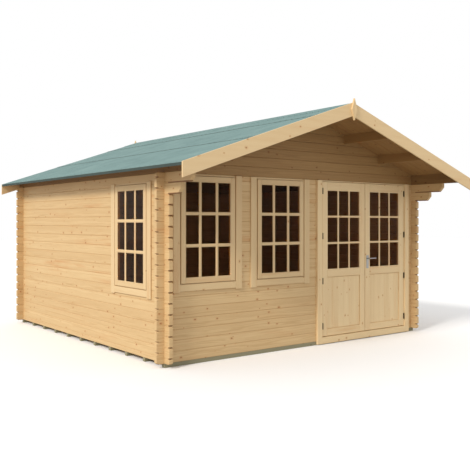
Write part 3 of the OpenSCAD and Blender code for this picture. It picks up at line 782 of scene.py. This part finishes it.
# one strip of felt along the roof, from start to end metres below the ridge
def addFeltStrip(bm, start, end, raised, turned=False):
    t = roof["feltThickness"]
    columns = roof["columns"]
    steps = max(2, int((end - start) / roof["stepLength"]))
    outer, inner = [], []
    for i in range(steps + 1):
        along = start + (end - start) * i / steps
        nearEnd = max(0.0, 1 - (end - along) / roof["lapTaper"])
        lift = raised * min(1.0, 1.6 * nearEnd)
        outer.append((along, lift + t))
        inner.append((along, lift))
    flat = len(outer)
    if turned:
        out, drop = 0.95 * t / math.cos(roof["slope"]), roof["turndown"]
        away, down = drop * math.sin(roof["slope"]), drop * math.cos(roof["slope"])
        outer += [(end + out * 0.8, t * 0.6), (end + out, 0), (end + out + away, -down)]
        inner += [(end + 0.0002, 0), (end + 0.0003, -0.0005), (end + 0.0003 + away, -down)]
    length = len(outer)
    points = []
    for profile in (outer, inner):
        for c in range(columns + 1):
            y = roofStart + (roofEnd - roofStart) * c / columns
            atEdge = c in (0, columns)
            for k, (along, height) in enumerate(profile):
                wavy = 0.0 if atEdge or k >= flat else feltRipple(along, y)
                points.append((along, y, height + wavy))
    count = (columns + 1) * length
    top, edge = [], []
    for c in range(columns):
        for k in range(length - 1):
            a, b = c * length + k, (c + 1) * length + k
            faces = top if k < flat else edge
            faces.append([a, b, b + 1, a + 1])
            faces.append([count + a, count + a + 1, count + b + 1, count + b])
        a, b = c * length, (c + 1) * length
        top.append([a, count + a, count + b, b])
        a, b = a + length - 1, b + length - 1
        edge.append([a, b, count + b, count + a])
    for base in (0, columns * length):
        for k in range(length - 1):
            edge.append([base + k, base + k + 1, count + base + k + 1, count + base + k])
    # the turned-down band and the cut edges take the felt with painted shade
    materials = [0] * len(top) + [1] * len(edge)
    addFaces(bm, points, top + edge, materials)


def makeFelt(side, name, node):
    length = eaveX / math.cos(roof["slope"])
    lap = roof["stripLap"]
    first = length - roof["stripWidth"]
    second = first + lap - roof["stripWidth"]
    bm = newMesh()
    addFeltStrip(bm, first, length, 0.0, turned=True)
    addFeltStrip(bm, second, first + lap, roof["feltThickness"])
    addFeltStrip(bm, 0.004, second + lap, roof["feltThickness"])
    single, double = roof["feltThickness"], 2 * roof["feltThickness"]
    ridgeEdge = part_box("ridge_felt")[1][0] / math.cos(roof["slope"])
    for edge, height in ((length, single), (first + lap, double), (second + lap, double),
                         (ridgeEdge, double)):
        addNailRow(bm, edge - roof["nailInset"], height)
    bm.transform(slopeMatrix(side))
    finishMesh(name, bm, [roofFelt, feltEdgePaintedShade, darkSteel], replaces=[node])


makeFelt(-1, "roofFeltLeft", "left_roof_felt")
makeFelt(1, "roofFeltRight", "right_roof_felt")
paint("ridge_felt", roofFelt)
print("roof covered")


# ---- barge boards ----

for node in ("front_left_barge_board", "front_right_barge_board", "back_left_barge_board",
             "back_right_barge_board"):
    paint(node, bargePine, 0.002)
print("barge boards painted")


# ---- windows ----

windowUnit = {
    "barWidth": 0.035,
    "barOffset": 0.1115,       # from the window's middle to each upright bar
    "trimThickness": 0.016,
    "trimWidth": 0.086,
    "trimGap": 0.014,
    "trimBelow": 0.095,
    "bottomTrim": 0.072,
    "bottomGap": 0.010,
    "sashGap": 0.004,
    "lining": 0.020,
    "stop": 0.012,
    "chamfer": 0.003,
    "bead": 0.006,
}
sashLow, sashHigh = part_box("side_window_sash")
paneLow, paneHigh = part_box("side_window_glass")
sashW, sashH = sashHigh[1] - sashLow[1], sashHigh[2] - sashLow[2]
stileW = paneLow[1] - sashLow[1]
railTop = sashHigh[2] - paneHigh[2]
sashFront, sashBack = sashLow[0] - leftFace, sashHigh[0] - leftFace
glassFront, glassBack = paneLow[0] - leftFace, paneHigh[0] - leftFace


# a glazing bar's cross-section, base at y = 0, proud towards -y
def barOutline(width, depth):
    return [(-width / 2, 0), (-width / 2, -depth * 0.35), (-width * 0.2, -depth),
            (width * 0.2, -depth), (width / 2, -depth * 0.35), (width / 2, 0)]


# bars across a glazed opening, on the outside and the inside of the glass
def addBars(bm, low, high, front, back, width, depth, uprights):
    for face, sign in ((front, 1), (back, -1)):
        for x in uprights:
            outline = [(x + a, face + sign * b) for a, b in barOutline(width, depth)]
            addPrism(bm, outline, 2, low[1], high[1], 1)
        for share in (1 / 3, 2 / 3):
            z = low[1] + (high[1] - low[1]) * share
            outline = [(face + sign * b * 0.97, z + a) for a, b in barOutline(width, depth)]
            addPrism(bm, outline, 0, low[0], high[0], 0)


# quarter-round beads along the four sides of an opening
def addBeads(bm, low, high, front, back, size):
    for face, sign in ((front, 1), (back, -1)):
        outer = face - sign * size
        for x, turn in ((low[0], 1), (high[0], -1)):
            outline = [(x, face), (x, outer), (x + turn * size * 0.35, outer),
                       (x + turn * size, face - sign * size * 0.35), (x + turn * size, face)]
            addPrism(bm, outline, 2, low[1], high[1], 1)
        for z, turn in ((low[1], 1), (high[1], -1)):
            outline = [(face, z), (outer, z), (outer, z + turn * size * 0.35),
                       (face - sign * size * 0.35, z + turn * size), (face, z + turn * size)]
            addPrism(bm, outline, 0, low[0], high[0], 0)


# in its own frame: x to the right, -y outward, the wall's face at y = 0,
# and x = 0, z = 0 at the sash's lower left corner
def makeWindow(name, place, sashNode, frameNode):
    unit = windowUnit
    chamfer = unit["chamfer"]
    bm = newMesh()
    for x in (0, sashW - stileW):
        addBlock(bm, (x, sashFront, 0), (x + stileW, sashBack, sashH), chamfer, 1)
    for bottom, top in ((0, stileW), (sashH - railTop, sashH)):
        addBlock(bm, (stileW, sashFront + 0.0005, bottom), (sashW - stileW, sashBack, top), chamfer, 0)
    low, high = (stileW, stileW), (sashW - stileW, sashH - railTop)
    addBeads(bm, low, high, glassFront, glassBack, unit["bead"])
    middle = sashW / 2
    addBars(bm, low, high, glassFront, glassBack, unit["barWidth"], glassFront - sashFront - 0.001,
            (middle - unit["barOffset"], middle + unit["barOffset"]))
    finishMesh(name + "Sash", bm, [windowX, windowZ], replaces=[sashNode], matrix=place)

    bm = newMesh()
    gap, lining, stop = unit["sashGap"], unit["lining"], unit["stop"]
    wall, t = logThickness, unit["trimThickness"]
    margin = gap + lining
    for x in (-margin, sashW + gap):
        addBlock(bm, (x, 0, -margin), (x + lining, wall, sashH + margin), 0.001, 1)
    for z in (-margin, sashH + gap):
        addBlock(bm, (-gap, 0, z), (sashW + gap, wall, z + lining), 0.001, 0)
    for x in (-gap, sashW + gap - stop):
        addBlock(bm, (x, sashBack, -gap), (x + stop, wall, sashH + gap), 0.001, 1)
    for z in (-gap, sashH + gap - stop):
        addBlock(bm, (stop - gap, sashBack, z), (sashW + gap - stop, wall, z + stop), 0.001, 0)
    side, width = unit["trimGap"], unit["trimWidth"]
    for x in (-side - width, sashW + side):
        addBlock(bm, (x, -t, -unit["trimBelow"]), (x + width, 0, sashH + margin), chamfer, 1)
    top = -unit["bottomGap"]
    addBlock(bm, (-side, -t, top - unit["bottomTrim"]), (sashW + side, 0, top), chamfer, 0)
    finishMesh(name + "Trims", bm, [windowX, windowZ], replaces=[frameNode], matrix=place)


frontLow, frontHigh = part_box("front_window_sashes")
sideTurn = Matrix.Rotation(math.radians(-90), 4, "Z")
makeWindow("frontWindowLeft", Matrix.Translation((frontLow[0], frontFace, frontLow[2])),
           "front_window_sashes", "front_window_frames")
makeWindow("frontWindowRight", Matrix.Translation((frontHigh[0] - sashW, frontFace, frontLow[2])),
           "front_window_sashes", "front_window_frames")
makeWindow("sideWindow", Matrix.Translation((leftFace, sashHigh[1], sashLow[2])) @ sideTurn,
           "side_window_sash", "side_window_frame")
print("windows glazed")


# ---- doors ----

doorLeaf = {
    "stile": 0.089,
    "topRail": 0.100,
    "midRail": 0.090,
    "bottomRail": 0.086,
    "glassZ": 0.826,
    "recess": 0.012,
    "panelBoards": 6,
    "panelGroove": 0.005,      # shadow gap between the panel and its frame
    "panelCore": 0.006,        # thickness of the tongue behind the groove
    "barWidth": 0.026,
    "bead": 0.009,
    "chamfer": 0.003,
}


def makeLeaf(name, body, node, glassNode):
    leaf = doorLeaf
    low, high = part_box(node)
    glassLow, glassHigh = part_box(glassNode)
    stile, chamfer = leaf["stile"], leaf["chamfer"]
    bm = newMesh()
    for x in (low[0], high[0] - stile):
        addBlock(bm, (x, low[1], low[2]), (x + stile, high[1], high[2]), chamfer, 1)
    left, right = low[0] + stile, high[0] - stile
    midTop = low[2] + leaf["glassZ"]
    rails = ((low[2], low[2] + leaf["bottomRail"]), (midTop - leaf["midRail"], midTop),
             (high[2] - leaf["topRail"], high[2]))
    for bottom, top in rails:
        addBlock(bm, (left, low[1] + 0.0004, bottom), (right, high[1] - 0.0004, top), chamfer, 0)
    bottom, top = rails[0][1], rails[1][0]
    groove, halfCore = leaf["panelGroove"], leaf["panelCore"] / 2
    heart = (low[1] + high[1]) / 2
    addBlock(bm, (left, heart - halfCore, bottom), (right, heart + halfCore, top), 0.0005, 1)
    width = (right - left - 2 * groove) / leaf["panelBoards"]
    for i in range(leaf["panelBoards"]):
        x = left + groove + i * width
        for front, back in ((low[1] + leaf["recess"], heart - halfCore),
                            (heart + halfCore, high[1] - leaf["recess"])):
            addBlock(bm, (x, front, bottom + groove), (x + width, back, top - groove), 0.0012, 1)
    opening = (left, midTop), (right, high[2] - leaf["topRail"])
    addBeads(bm, *opening, glassLow[1], glassHigh[1], leaf["bead"])
    uprights = [left + (right - left) * share for share in (1 / 3, 2 / 3)]
    barDepth = glassLow[1] - low[1] - 0.002
    addBars(bm, *opening, glassLow[1], glassHigh[1], leaf["barWidth"], barDepth, uprights)
    finishMesh(name, bm, [joineryX, joineryZ], body, replaces=[node])


makeLeaf("leftDoorLeaf", "left_door", "left_door", "left_door_glass")
makeLeaf("rightDoorLeaf", "right_door", "right_door", "right_door_glass")
for node in ("door_jamb_left", "door_jamb_right"):
    paint(node, joineryZ, 0.002)
for node in ("door_head", "door_sill"):
    paint(node, joineryX, 0.002)
for node in ("door_handle_plates", "door_handle"):
    paint(node, brushedSteel, 0.001)
print("doors hung")


# ---- floor ----

floorBoards = {"count": 36, "chamfer": 0.002}


def makeFloor():
    low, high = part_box("floor_boards")
    width = (high[0] - low[0]) / floorBoards["count"]
    bm = newMesh()
    for i in range(floorBoards["count"]):
        left = low[0] + i * width
        addBlock(bm, (left, low[1], low[2]), (left + width, high[1], high[2]), floorBoards["chamfer"])
    finishMesh("floorPlanks", bm, [floorPlanks], replaces=["floor_boards"])


makeFloor()
print("floor laid")
